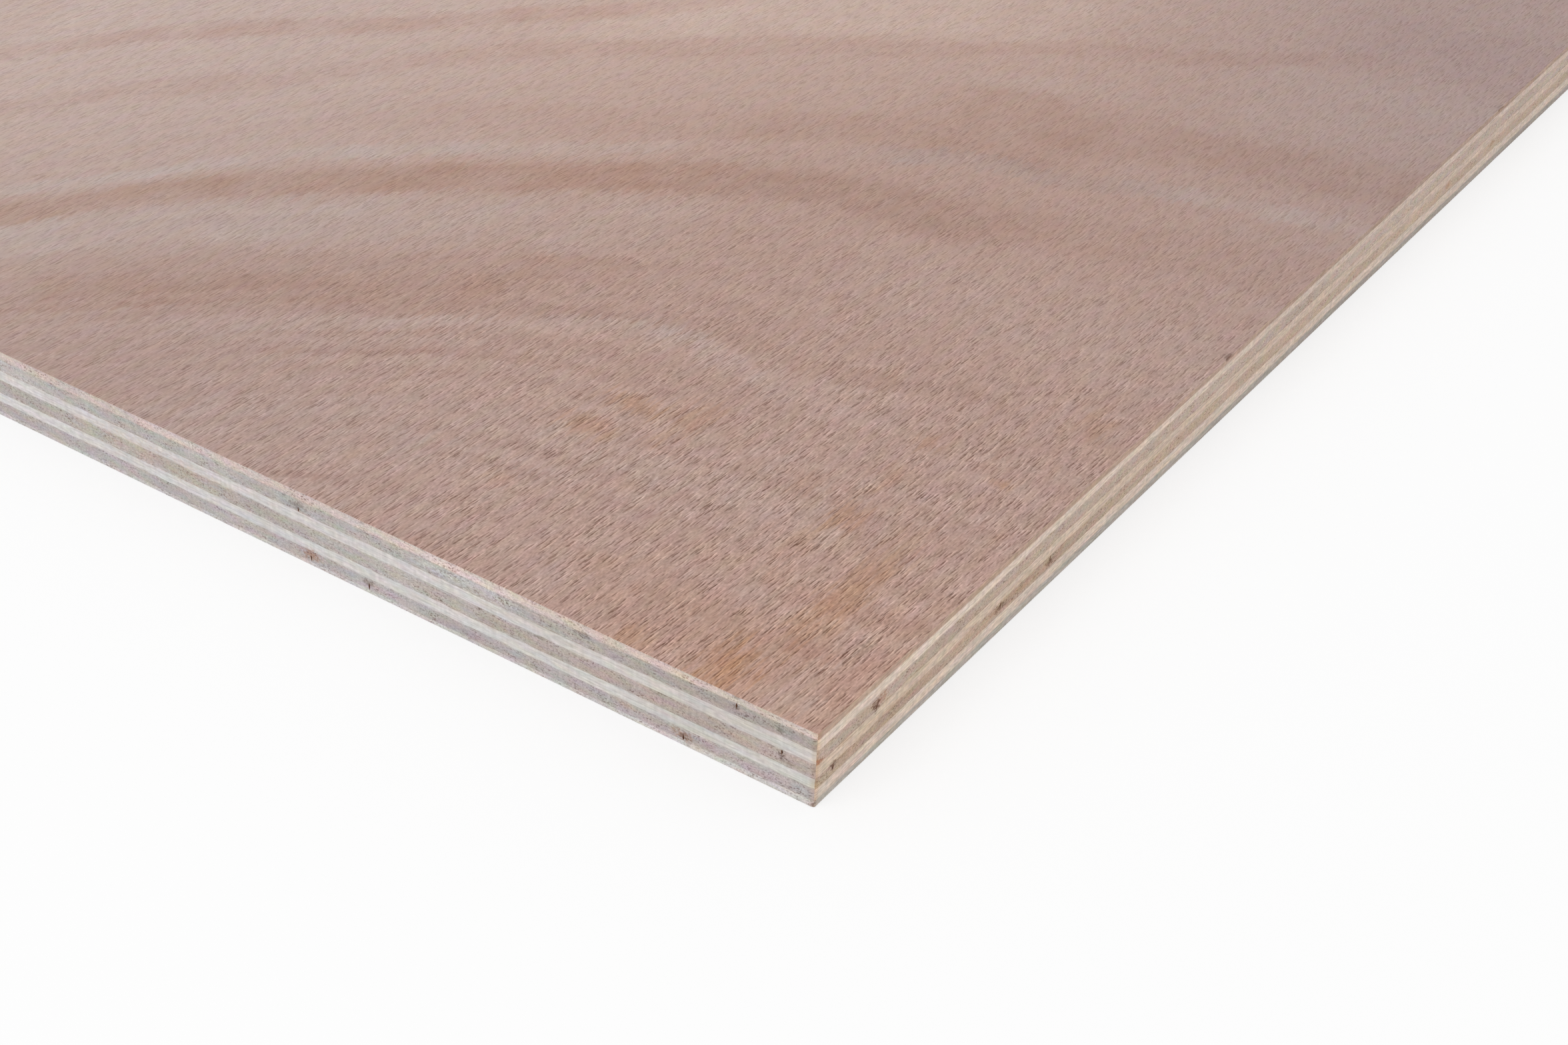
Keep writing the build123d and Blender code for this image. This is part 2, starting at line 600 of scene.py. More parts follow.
def squeeze_gaps(bm, node, widest_places):
    """Moves the walls of a veneer's core gaps towards each other, save at one place."""
    low, high = (in_mm(corner).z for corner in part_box(node))
    across = 1 if node in long_plies else 0
    walls = {}
    for face in bm.faces:
        middle = face.calc_center_median()
        if abs(face.normal[across]) > square_on and min(depth_inside(middle)) > touching:
            walls.setdefault(round(in_mm(middle)[across], 1), []).append(face)
    places = sorted(walls)
    for number, widest_at in enumerate(widest_places):
        left, right = places[2 * number], places[2 * number + 1]
        for vert in {vert for place in (left, right) for face in walls[place] for vert in face.verts}:
            point = in_mm(vert.co)
            from_widest = (point.z - low) - widest_at * (high - low)
            lens = math.exp(-((from_widest / gap_lens) ** 2))
            mouth = 1.0 - ease(depth_inside(vert.co)[1 - across], 0.0, gap_narrows_over)
            open_share = gap_squeezed + gap_open * lens * mouth
            vert.co[across] -= (point[across] - (left + right) / 2) * (1.0 - open_share) * MM
    return places


for node, widest_places in gap_widest_at.items():
    print(node, "gap walls at, in mm:", squeeze_gaps(slabs[node], node, widest_places))

# %% [markdown]
# ## What the saw and the sander leave
# A saw blade leaves a slightly furry face. Where it cuts across the fibres the ends stand up as
# a fine grit, and where it runs along them the face is smoother. The arris of the show face is
# also nicked, because open pores break out there, and the corner is a little worn. A Displace
# modifier could roughen a whole surface, but this depends on the grain, the edge and the height,
# so each vertex is moved in code. The grit is a few hundredths of a millimetre deep, and nicks,
# chips and wear a few tenths. Nearly all of it goes inwards, so the sheet keeps its size.

# %% Roughness of the sawn faces
grit_across_fibres = 0.05
grit_along_fibres = 0.02
grit_spacing = 0.45
blade_mark = 0.02
blade_spacing = (1.3, 9.0)
nick_from = 0.28
nick_depth = 0.35
nick_spacing = 0.55
nick_share = {"end": 1.0, "side": 0.5}
# Each kind of roughness reads a layer of the noise of its own
grit_layer = {"end": 7.0, "side": 3.0}
blade_layer = 11.0
nick_layer = {"end": 4.0, "side": 9.0}
# Place along the edge, reach and depth, and the share of its reach that is a chip's flat floor
chips = {
    "end": [(12.4, 0.5, 0.3), (75.0, 0.9, 0.25)],
    "side": [(115.0, 1.6, 0.45), (231.0, 2.0, 0.3)],
}
chip_floor = 0.3


def shows_fibre_ends(node, edge):
    """Whether the saw went across the fibres of a veneer on an end or on a long side."""
    along_length = node in long_plies + outer_veneers
    return along_length == (edge == "end")


def random_height(x, y, layer):
    """A height from 0 to 1 that changes smoothly with its place."""
    return 0.5 + 0.5 * noise.noise(Vector((x, y, layer)))


def sawn_inward(node, edge, run, z):
    """How far the saw cut falls back behind the flat of the edge, in mm."""
    grit_depth = grit_across_fibres if shows_fibre_ends(node, edge) else grit_along_fibres
    grit = random_height(run / grit_spacing, z / grit_spacing, grit_layer[edge])
    blade = random_height(run / blade_spacing[0], z / blade_spacing[1], blade_layer)
    return grit_depth * grit + blade_mark * blade


def nick(edge, run):
    """How deep the arris is broken at one place along an edge, in mm."""
    pores = noise.noise(Vector((run / nick_spacing, nick_layer[edge], 0.0)))
    depth = nick_depth * max(pores - nick_from, 0.0) * nick_share[edge]
    for middle, reach, deep in chips[edge]:
        depth = max(depth, deep * (1.0 - ease(abs(run - middle), chip_floor * reach, reach)))
    return depth


for edge, places in chips.items():
    for run, _, _ in places:
        print(f"chip on the {edge} at {run} mm: {nick(edge, run):.2f} mm deep")

# %% Press the rim and roughen it
corner_wear = 0.22
corner_spacing = 1.1
# A wave so long that at one corner the wear changes with height alone, but no two are alike
corner_to_corner = 500.0
# How far a nick goes in for each mm that it goes down
nick_goes_in = 0.7


def corner_worn(x, y, z):
    """How far the upright arris at a corner of the sheet is worn back, in mm."""
    place = Vector((z / corner_spacing, x / corner_to_corner, y / corner_to_corner))
    return corner_wear * (0.5 + noise.noise(place))


def saw_edges(bm, node):
    """Presses the glue lines of the rim and roughens its sawn faces and its upper arris."""
    low, high = (round(in_mm(corner).z, 2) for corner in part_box(node))
    height_in_ply = bm.verts.layers.float.new("height_in_ply")
    for vert in bm.verts:
        x, y, z = in_mm(vert.co)
        vert[height_in_ply] = (z - low) / (high - low)
        depths = dict(zip(("end", "side"), depth_inside(vert.co)))
        if min(depths.values()) > rim - touching:
            continue
        hold = 1.0 - min(depths.values()) / rim
        moved = Vector((x, y, z + hold * (pressed_height(low, high, x, y, z) - z)))
        for edge, axis, run, half in (("end", 0, y, length_mm / 2), ("side", 1, x, width_mm / 2)):
            if depths[edge] > arris_zone:
                continue
            share = 1.0 - depths[edge] / arris_zone
            inward = sawn_inward(node, edge, run, z)
            if z > height_mm - arris_zone:
                broken = nick(edge, run)
                moved.z -= broken * share
                inward += nick_goes_in * broken
            if max(depths.values()) < arris_zone:
                inward += corner_worn(x, y, z)
            moved[axis] += inward * share * (1.0 if (x, y)[axis] < half else -1.0)
        vert.co = cad_low + moved * MM


# %% [markdown]
# ## Seven pieces
# Each slab becomes one object, which takes the place of its packed veneer and rides on the root
# body. A veneer looks different on its flat face, on its ends and on its long sides, so its faces
# are sorted into three finishes while they are still flat and their directions are plain. The
# grit is shaded smooth, and only sharp bends stay hard.

# %% Turn the slabs into pieces
facing = 0.7
smooth_up_to = math.radians(50.0)


def face_part(face):
    """Which finish a face of a veneer takes: 0 for flat or inner wood, 1 for an end, 2 for a side."""
    end_depth, side_depth = depth_inside(face.calc_center_median())
    if abs(face.normal.x) > facing and end_depth < arris_zone:
        return 1
    if abs(face.normal.y) > facing and side_depth < arris_zone:
        return 2
    return 0


pieces = {}
for node, bm in slabs.items():
    for face in bm.faces:
        face.material_index = face_part(face)
        face.smooth = True
    for edge in bm.edges:
        edge.smooth = edge.calc_face_angle(0.0) < smooth_up_to
    saw_edges(bm, node)
    mesh = bpy.data.meshes.new("sawn_" + node)
    bm.to_mesh(mesh)
    bm.free()
    pieces[node] = bpy.data.objects.new("sawn_" + node, mesh)
    scene.collection.objects.link(pieces[node])
    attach(pieces[node], "root")
    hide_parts(node)
    print(node, "triangles:", sum(len(polygon.vertices) - 2 for polygon in mesh.polygons))

# %% [markdown]
# ## Broad ribbons of the show face
# The face is one peeled veneer of a pinkish brown hardwood. Peeling unrolls the log, so the
# growth rings come out as broad, soft ribbons that turn in wide arcs. Noise alone gives such a
# figure, but not this one. So near the corner each ribbon is given, as a soft band at some
# distance, along X, from a guide line that follows the strongest dark ribbon. Beyond the
# part of the sheet that the picture shows, and on the back, only chance places them.

# %% Broad ribbons
guide_line = [
    (0, 141), (45, 133), (70, 130), (98, 118), (128, 94), (150, 74), (165, 58), (180, 33),
    (200, 2), (250, -85), (310, -220), (400, -470),
]
everywhere = (-500, 900)
ribbon_fade = 16.0
# The shares of a ribbon's half width where it starts to fade and where it ends
ribbon_fades = (0.45, 1.2)
# How each kind of wood differs from the plain wood around it, in red, green and blue
orange_brown = (-0.09, -0.16, -0.21)
dark_brown = (-0.10, -0.14, -0.17)
light_brown = (-0.05, -0.08, -0.10)
reddish = (-0.04, -0.08, -0.09)
slate = (-0.04, -0.05, -0.03)
dull_blue = (-0.05, -0.01, 0.02)
milky = (0.02, 0.07, 0.09)
cream = (0.08, 0.12, 0.12)
# Middle line as (Y, offset from the guide line), half width, first and last place along Y,
# kind of wood, strength
near_ribbons = [
    ([(60, -5), (110, -4), (150, -4), (180, -1)], 9, (98, 900), orange_brown, 1.0),
    ([(60, -5), (110, -4), (150, -4), (180, -1)], 9, (50, 98), dark_brown, 0.9),
    ([(0, 7), (20, 4), (40, 0), (60, -4)], 9, (-500, 50), light_brown, 0.8),
    ([(0, 27), (20, 26), (40, 23), (60, 18)], 4, (-500, 34), milky, 1.2),
    ([(20, 26), (40, 23), (60, 18), (80, 14)], 4, (30, 84), dull_blue, 1.0),
    ([(80, 14), (100, 12), (130, 11), (170, 12)], 4, (112, 900), milky, 1.3),
    ([(50, 27), (75, 26), (100, 22)], 9, (50, 108), light_brown, 1.0),
    ([(0, 45), (30, 46), (60, 40), (80, 43)], 10, (-500, 84), light_brown, 1.2),
    ([(60, 56), (80, 52)], 5, (58, 88), milky, 0.6),
    ([(0, 78), (40, 72)], 20, (-500, 44), milky, 0.55),
    ([(30, 97), (45, 88), (60, 79), (80, 72), (105, 64)], 5, (24, 104), reddish, 1.0),
    ([(0, 109), (30, 112)], 15, (-500, 38), slate, 1.0),
    ([(80, 86), (150, 84)], 16, (78, 154), cream, 0.75),
    ([(114, 25), (137, 27), (161, 33)], 9, (108, 162), reddish, 0.5),
    ([(140, 98), (160, 91), (175, 97), (190, 105), (215, 120)], 7, (142, 900), reddish, 1.5),
    ([(110, 69), (130, 66), (155, 66), (200, 74)], 7, (104, 240), reddish, 0.9),
    ([(0, -30), (100, -25), (160, -22)], 13, (92, 900), milky, 1.05),
    ([(0, -32), (60, -28)], 14, (-500, 62), milky, 0.45),
    ([(90, -56), (120, -55), (150, -54)], 8, (98, 160), orange_brown, 0.7),
    ([(90, -44), (150, -43)], 6, (88, 162), light_brown, 0.9),
    ([(30, -72), (45, -69), (60, -65), (78, -62), (100, -67), (130, -70)], 3, (30, 130), milky, 0.8),
    ([(30, -57), (50, -59), (70, -57), (88, -60)], 3, (22, 94), dark_brown, 0.7),
    ([(22, -100), (124, -104)], 10, (22, 124), milky, 0.5),
    ([(0, -130), (40, -128)], 8, (-500, 40), light_brown, 0.6),
]
# Size of the waves along X and Y, and how far they push a ribbon along X
ribbon_wander = ((48.0, 40.0), 2.4)
ribbon_fray = ((3.6, 0.9), 2.0)
# Fine rings between the ribbons, which are faint save well before the guide line
ring_size = (3.4, 3.0)
ring_change = (0.10, 0.15, 0.17)
ring_fades = (-75.0, -35.0, 0.75, 0.18)
# How much less a pattern of rings changes along them than across
ring_stretch = 0.03
# The oval around the corner that the listed ribbons keep to: how much a mm along Y
# counts, and where they give way
oval = 1.35
oval_fades = (290.0, 430.0)
# The figure that chance places: its waves, how much a mm along Y counts, and its rings
far_swing = ((1000.0, 280.0), 190.0)
far_spread = 0.7
far_ring_size = (17.0, 30.0)
far_ring_change = (0.10, 0.16, 0.19)


def one_ribbon(wood, beyond, so_far, middle, half_width, stretch, kind, strength):
    """Adds one band of a kind of wood, between two places along Y, to the changes so far."""
    away = wood.math("ABSOLUTE", wood.math("SUBTRACT", beyond, wood.curve(wood.y, middle)))
    starts, ends = (share * half_width for share in ribbon_fades)
    band = wood.ramp(away, starts, ends, strength, 0.0)
    for place, sign in zip(stretch, (1.0, -1.0)):
        if place not in everywhere:
            reach = ribbon_fade * sign
            band = wood.times(band, wood.ramp(wood.y, place - reach / 2, place + reach / 2))
    return wood.more(so_far, band, kind)


def near_figure(wood, here, seed):
    """The ribbons near the corner and the fine rings between them, as a change of colour."""
    beyond = wood.math("SUBTRACT", wood.x, wood.curve(wood.y, guide_line))
    wander = wood.push(here, *ribbon_wander, detail=1.0, seed=seed)
    fray = wood.push(here, *ribbon_fray, seed=seed)
    beyond = wood.total(beyond, wander, fray)
    rings = wood.flat(beyond, wood.times(wood.y, ring_stretch))
    tone = wood.cloud(rings, ring_size, detail=1.0, seed=seed)
    tone = wood.times(tone, wood.ramp(beyond, *ring_fades))
    change = wood.more(no_change, tone, ring_change)
    for ribbon in near_ribbons:
        change = one_ribbon(wood, beyond, change, *ribbon)
    return change


def far_figure(wood, here, seed):
    """Growth rings that only chance has placed, as a change of colour."""
    swing = wood.push(here, *far_swing, detail=1.0, seed=seed + 5.0)
    beyond = wood.total(wood.times(wood.y, far_spread), swing)
    rings = wood.flat(beyond, wood.times(wood.x, ring_stretch))
    tone = wood.cloud(rings, far_ring_size, detail=3.0, seed=seed)
    return wood.more(no_change, tone, far_ring_change)


def show_face_figure(wood, here, seed):
    """Goes from the ribbons placed by hand to those that chance has placed."""
    reach = wood.length(wood.flat(wood.x, wood.times(wood.y, oval)))
    near, far = near_figure(wood, here, seed), far_figure(wood, here, seed)
    return wood.blend(wood.ramp(reach, *oval_fades), near, far)


print("ribbons placed by hand:", len(near_ribbons))

# %% [markdown]
# ## Fibres and pores
# The other scale of this wood is fine. The peeling knife lays pores open lengthwise, as short
# dark dashes with a lit edge, and between them fibres make rows of light and dark. The lit edge
# is a painted highlight on the side the light comes from, and partly the paler fibres there.
# Pores could be pressed into the mesh, but there are millions, so each kind of mark is a random
# pattern, stretched along the grain, and pores are dents in the bump alone. The changes are added
# up before they touch the colour. The picture is sharp at the corner and soft further off, so the
# marks fade to a third of their strength there.

# %% Fibres and pores
grain_lean = math.radians(-1.0)
# Size of the waves along and across the grain, and how far they bend it
grain_wave = ((190.0, 80.0), 2.0)
grain_tremble = ((2.2, 0.9), 0.09)
# Sizes along and across the grain, and changes of red, green and blue
row_size = (5.0, 0.50)
row_change = (0.19, 0.20, 0.21)
grit_size = (0.60, 0.24)
grit_change = (0.22, 0.23, 0.24)
strand_size = (26.0, 2.0)
strand_change = (0.04, 0.05, 0.06)
pore_cell = (3.8, 0.44)
pore_radii = (0.08, 0.31)
pore_blur = 0.08
pore_change = (-0.34, -0.40, -0.43)
# The lit edge of each pore: a painted highlight, partly the paler fibres beside it
lit_side = 0.42
lit_change = (0.32, 0.35, 0.36)
# Marks are stronger in some groups than in others, and weaker further from the corner
group_size = (7.0, 4.0)
group_change = 0.4
grain_fades = (20.0, 190.0, 1.0, 0.32)
pore_depth = 0.04
row_relief = 0.15


def grain_place(wood):
    """Coordinates along and across the grain, which leans a little and waves."""
    leaning = wood.node(
        "Mapping", {0: wood.flat(wood.x, wood.y), "Rotation": (0.0, 0.0, -grain_lean)}
    ).outputs[0]
    along, across, _ = wood.node("SeparateXYZ", {0: leaning}).outputs
    wave = wood.push(leaning, *grain_wave, detail=0.0)
    tremble = wood.push(leaning, *grain_tremble, detail=0.0)
    return wood.flat(along, wood.total(across, wave, tremble))


def peeled_grain(wood, colour, seed=0.0):
    """Adds fibres and pores to the colour of a face, and returns it with their relief."""
    grain = grain_place(wood)
    rows = wood.cloud(grain, row_size, detail=0.0, seed=seed)
    grit = wood.cloud(grain, grit_size, detail=0.0, seed=seed + 1.0)
    strands = wood.cloud(grain, strand_size, detail=1.0, seed=seed + 2.0)
    pores, lit_edges = wood.specks(grain, pore_cell, pore_radii, pore_blur, lit_side, seed)
    marks = (
        (rows, row_change), (grit, grit_change), (strands, strand_change),
        (pores, pore_change), (lit_edges, lit_change),
    )
    change = no_change
    for tone, full_change in marks:
        change = wood.more(change, tone, full_change)
    groups = wood.uneven(grain, group_size, group_change, detail=0.0, seed=seed)
    strength = wood.times(groups, wood.ramp(wood.length(grain), *grain_fades))
    colour = wood.tint(colour, strength, change)
    return colour, wood.math("MULTIPLY_ADD", rows, row_relief, wood.rest(pores))


# %% [markdown]
# ## Colours of the show face and the back
# Bare wood is never one colour. This face is warmest at the corner, paler further in and cooler
# towards the right, and by the corner it has ochre stains and a few bluish grey ones. Painting
# them on a picture would tie them to one size of sheet. Here the broad changes are washes in a
# slanting direction, and each stain is one soft, ragged spot from a list. The back is sanded
# from the same wood and has no stains.

# %% Colours and stains
face_brown = paint(174, 145, 134)
corner_warm = paint(179, 146, 131)
further_pale = paint(193, 168, 157)
right_cool = paint(165, 142, 136)
end_cool_change = (-0.04, 0.0, 0.035)
drift_change = (0.10, 0.12, 0.13)
ochre_change = (-0.05, -0.15, -0.28)
blue_grey_change = (0.0, 0.05, 0.10)
# Washes: how much a mm along X and along Y counts, and where the wash starts and ends
inwards = ((0.5, 0.9), 110.0, 260.0)
endwards = ((-0.7, 1.0), 30.0, 130.0)
rightwards = ((1.0, -1.5), 50.0, 260.0)
# Distances from the corner where its warm colour fades, and where the sheet leaves the picture
warm_fades = (0.0, 60.0, 1.0, 0.0)
out_of_picture = (250.0, 600.0)
drift_size = (800.0, 240.0)
lively_size = (16.0, 9.0)
lively_change = 0.6
face_mottle_size = (6.0, 2.2)
face_mottle_change = (0.03, 0.03, 0.05)
# Stains: middle, reach and strength
ochre_stains = [
    ((4, 17), (8, 5), 1.3), ((27, 13), (19, 4), 0.9), ((42, 23), (5, 4), 0.9),
    ((33, 25), (8, 3), 0.4), ((65, 24), (3, 3), 0.8), ((54, 24), (6, 3), 0.5),
    ((62, 10), (2, 2), 1.0), ((38, 66), (4, 7), 0.7), ((47, 64), (4, 7), 0.9),
    ((48, 55), (9, 4), 0.7), ((45, 32), (4, 3), 0.4), ((2, 30), (4, 3), 0.8),
    ((20, 67), (3, 3), 0.5), ((12, 43), (4, 3), 0.4), ((84, 7), (6, 4), 0.5),
]
blue_grey_stains = [
    ((6, 7), (10, 5), 1.0), ((17, 7), (5, 4), 0.8), ((68, 74), (4, 10), 0.9),
    ((18, 82), (5, 5), 0.6), ((20, 23), (6, 4), 0.5), ((4, 47), (6, 5), 0.5),
]
stain_ragged = ((7.0, 0.9), 0.5)
# Roughness at the bottom and at the top of the relief
face_roughness = (0.75, 0.6)
back_roughness = (0.8, 0.65)
back_pale = 0.35


def show_face_colour(wood, here):
    """The broad changes of colour, before any rings, stains or grain."""
    from_corner = wood.length(here)
    colour = wood.blend(wood.ramp(from_corner, *warm_fades), face_brown, corner_warm)
    colour = wood.blend(wood.wash(*inwards), colour, further_pale)
    colour = wood.tint(colour, wood.wash(*endwards), end_cool_change)
    further = wood.ramp(from_corner, *out_of_picture)
    cool = wood.times(wood.wash(*rightwards), wood.rest(further))
    colour = wood.blend(cool, colour, right_cool)
    drift = wood.times(wood.cloud(here, drift_size, seed=12.0), further)
    return wood.tint(colour, drift, drift_change)


def show_face_wood():
    wood = Finish("show_face")
    here = wood.flat(wood.x, wood.y)
    colour = show_face_colour(wood, here)
    lively = wood.uneven(here, lively_size, lively_change, seed=3.0)
    colour = wood.tint(colour, lively, show_face_figure(wood, here, seed=1.0))
    colour = wood.mottle(colour, here, face_mottle_size, face_mottle_change)
    ragged = wood.push(here, *stain_ragged, seed=9.0)
    for stains, change in ((ochre_stains, ochre_change), (blue_grey_stains, blue_grey_change)):
        marks = [wood.stain(here, ragged, *stain) for stain in stains]
        colour = wood.tint(colour, wood.total(*marks), change)
    colour, height = peeled_grain(wood, colour)
    return wood.wear(colour, height, pore_depth, face_roughness)


def back_face_wood():
    wood = Finish("back_face")
    plain = wood.blend(back_pale, face_brown, further_pale)
    figure = far_figure(wood, wood.flat(wood.x, wood.y), seed=30.0)
    colour = wood.tint(plain, (1.0, 1.0, 1.0), figure)
    colour, height = peeled_grain(wood, colour, seed=40.0)
    return wood.wear(colour, height, pore_depth, back_roughness)


faces = {"face_veneer": show_face_wood(), "back_veneer": back_face_wood()}
for veneer, finish in faces.items():
    print(f"{veneer}: {finish.name} has {len(finish.node_tree.nodes)} nodes")

# %% [markdown]
# ## The wood of the sawn edges
# On an edge each veneer shows either the ends of its fibres, as fine dots and grit, or their
# sides, as faint streaks along the edge. One striped finish for the whole edge would be less
# work, but its stripes would part from the veneers where the glue lines wander. So each veneer
# gets an end and a side of its own from one recipe: a colour, zones that drift along the edge,
# upright traces of the saw blade, the marks of the fibres, and listed spots, most of them
# around core gaps. The mesh keeps each point's share of the height of its veneer, so the wood
# can darken where glue has soaked in. The saw smears the veneers into each other there, so each
# also takes some of its neighbour's colour.

# %% Colours and marks of the sawn edges
# By the corner and further along
# The ends are the veneers' own light and dark stripes with a painted cool light on them
end_wood_with_cool_light = {
    "face_veneer": (paint(209, 192, 183), paint(201, 186, 180)),
    "upper_long_ply": (paint(165, 156, 150), paint(178, 172, 168)),
    "upper_cross_ply": (paint(199, 193, 188), paint(203, 198, 196)),
    "centre_ply": (paint(175, 161, 154), paint(179, 172, 166)),
    "lower_cross_ply": (paint(198, 194, 189), paint(203, 199, 197)),
    "lower_long_ply": (paint(178, 168, 166), paint(179, 171, 170)),
    # The back veneer's end is greyer than the face veneer's: painted shade along the bottom of the
    # sheet
    "back_veneer": (paint(199, 193, 190), paint(198, 193, 190)),
}
# The sides are the veneers' own light and dark stripes with a painted warm bounce of light on them
side_wood_with_warm_light = {
    "face_veneer": (paint(189, 161, 143), paint(178, 153, 138)),
    "upper_long_ply": (paint(227, 208, 192), paint(207, 187, 174)),
    "upper_cross_ply": (paint(192, 171, 156), paint(195, 176, 163)),
    "centre_ply": (paint(213, 192, 173), paint(206, 185, 170)),
    "lower_cross_ply": (paint(192, 168, 149), paint(197, 175, 157)),
    "lower_long_ply": (paint(222, 203, 188), paint(216, 198, 184)),
    # The back veneer's side is greyer than the face veneer's: painted shade along the bottom of the
    # sheet
    "back_veneer": (paint(190, 182, 173), paint(178, 168, 160)),
}
further_along = {"end": (20.0, 75.0), "side": (20.0, 200.0)}
# Changes of red, green and blue
corner_change = (-0.04, -0.14, -0.24)
glue_change = (-0.26, -0.30, -0.33)
fibre_end_change = (-0.30, -0.36, -0.38)
# Smoky spots; most sit around the mouths of core gaps, where they are painted shade, a dark halo that
# widens the gap's own shadow
smoky_spot_and_gap_shade = (-0.38, -0.42, -0.44)
rusty = (-0.14, -0.28, -0.36)
tan = (-0.07, -0.14, -0.19)
bluish = (0.16, 0.20, 0.23)
# Middle as (place along the edge, height), reach, kind of mark, strength
edge_marks = {
    "end": [
        ((12.3, 10.4), (0.8, 0.6), smoky_spot_and_gap_shade, 0.8), ((5.5, 10.0), (0.7, 0.6), smoky_spot_and_gap_shade, 1.0),
        ((5.2, 6.0), (0.8, 0.9), smoky_spot_and_gap_shade, 0.8), ((4.1, 5.3), (1.1, 0.6), smoky_spot_and_gap_shade, 0.8),
        ((20.5, 1.7), (2.2, 1.1), rusty, 1.3), ((20.4, 1.7), (0.9, 0.6), smoky_spot_and_gap_shade, 0.9),
        ((16.5, 1.9), (2.0, 0.8), rusty, 0.4), ((29.9, 2.1), (2.0, 0.6), rusty, 0.4),
        ((24.4, 6.8), (0.7, 0.2), smoky_spot_and_gap_shade, 0.9), ((22.3, 6.8), (1.3, 0.2), smoky_spot_and_gap_shade, 0.8),
        ((12.9, 6.9), (0.5, 0.2), smoky_spot_and_gap_shade, 0.8), ((9.0, 6.8), (0.6, 0.2), smoky_spot_and_gap_shade, 0.8),
        ((6.8, 6.9), (0.9, 0.2), smoky_spot_and_gap_shade, 0.7), ((7.6, 0.9), (0.5, 0.3), smoky_spot_and_gap_shade, 0.7),
        ((55.0, 9.9), (10.0, 1.6), bluish, 1.2), ((63.0, 9.6), (4.0, 0.5), bluish, 0.7),
        ((37.0, 10.4), (1.7, 0.6), smoky_spot_and_gap_shade, 1.0), ((47.5, 10.4), (1.2, 0.2), smoky_spot_and_gap_shade, 0.7),
        ((54.4, 6.5), (1.0, 0.3), smoky_spot_and_gap_shade, 0.9), ((44.6, 6.5), (2.0, 0.3), smoky_spot_and_gap_shade, 0.9),
        ((64.0, 5.2), (0.4, 0.5), smoky_spot_and_gap_shade, 0.8), ((61.2, 4.8), (0.5, 0.4), smoky_spot_and_gap_shade, 0.9),
        ((54.0, 4.9), (0.5, 0.5), smoky_spot_and_gap_shade, 0.7), ((51.0, 5.4), (2.5, 0.7), tan, 0.9),
        ((74.5, 1.8), (1.5, 0.8), smoky_spot_and_gap_shade, 1.0), ((85.4, 1.9), (2.4, 1.1), rusty, 1.4),
        ((87.2, 9.5), (1.8, 0.8), smoky_spot_and_gap_shade, 1.0), ((116.0, 6.0), (20.0, 2.0), tan, 1.0),
        ((0.2, 0.4), (0.6, 0.8), smoky_spot_and_gap_shade, 1.4),
    ],
    "side": [
        ((13.7, 7.8), (1.2, 1.1), smoky_spot_and_gap_shade, 1.6), ((14.4, 8.2), (2.4, 1.2), rusty, 1.0),
        ((4.0, 4.6), (1.1, 0.9), smoky_spot_and_gap_shade, 1.5), ((0.6, 7.2), (1.3, 0.6), rusty, 1.5),
        ((6.4, 6.8), (2.4, 0.6), rusty, 0.5), ((5.9, 4.7), (2.0, 0.8), rusty, 0.5),
        ((18.0, 4.9), (6.0, 1.2), tan, 0.8), ((50.0, 4.8), (12.0, 1.3), rusty, 0.5),
        ((45.6, 4.6), (1.8, 0.8), smoky_spot_and_gap_shade, 1.2), ((59.5, 4.3), (1.4, 0.8), smoky_spot_and_gap_shade, 1.3),
        ((55.5, 4.2), (1.2, 0.2), smoky_spot_and_gap_shade, 0.8), ((65.0, 5.4), (2.0, 0.6), rusty, 0.6),
        ((37.0, 5.5), (2.5, 0.6), rusty, 0.5), ((208.0, 5.0), (1.5, 0.9), rusty, 1.0),
        ((230.0, 5.2), (1.5, 0.9), rusty, 1.0), ((140.0, 3.4), (14.0, 0.7), tan, 0.7),
        ((0.2, 0.4), (0.5, 0.8), smoky_spot_and_gap_shade, 1.2),
    ],
}
print("marks placed by hand:", {edge: len(marks) for edge, marks in edge_marks.items()})

# %% The recipe of a sawn edge
# Sizes are along the edge and up it, in mm, and a strength is a change of every colour
zone_size = (26.0, 9.0)
blade_size = (0.6, 14.0)
blade_strength = 0.06
sawn_mottle_size = (3.5, 1.2)
mark_ragged = ((0.7, 0.35), 0.6)
# How strong the zones and the mottling are on the ends of fibres and on their sides
fibre_end_look = (0.10, (0.08, 0.07, 0.09))
fibre_side_look = (0.06, (0.05, 0.03, 0.06))
# Along the upright arris at the corner, and under the upper arris on the end of the face veneer
corner_fades = (0.0, 1.3, 1.0, 0.0)
arris_fades = (0.65, 1.0)
arris_strength = -0.12
# Shares of a veneer's height where its neighbours' colours come in, and how much
smear_above = (0.88, 1.05, 0.0, 0.6)
smear_below = (-0.05, 0.12, 0.6, 0.0)
# Ends of fibres
crumple = ((0.5, 0.5), 0.25)
crumb_size = (0.30, 0.26)
crumb_strength = 0.22
fibre_end_cell = (0.48, 0.42)
fibre_end_radii = (0.0, 0.34)
fibre_end_blur = 0.14
fibre_end_patches = ((4.0, 1.5), 0.9, 0.7)
# Sides of fibres
streak_size = (7.0, 0.25)
fluff_size = (1.2, 0.4)
streak_strength = {"end": 0.12, "side": 0.17}
# Glue: how far from a veneer's middle, how patchy, and weaker further along a side
glue_fades = (0.42, 0.5)
soak_size = (2.2, 1.0)
soak_fades = (-0.25, 0.6)
side_glue_fades = (40.0, 120.0, 1.0, 0.6)
sawn_relief = 0.04
sawn_roughness = (0.9, 0.75)


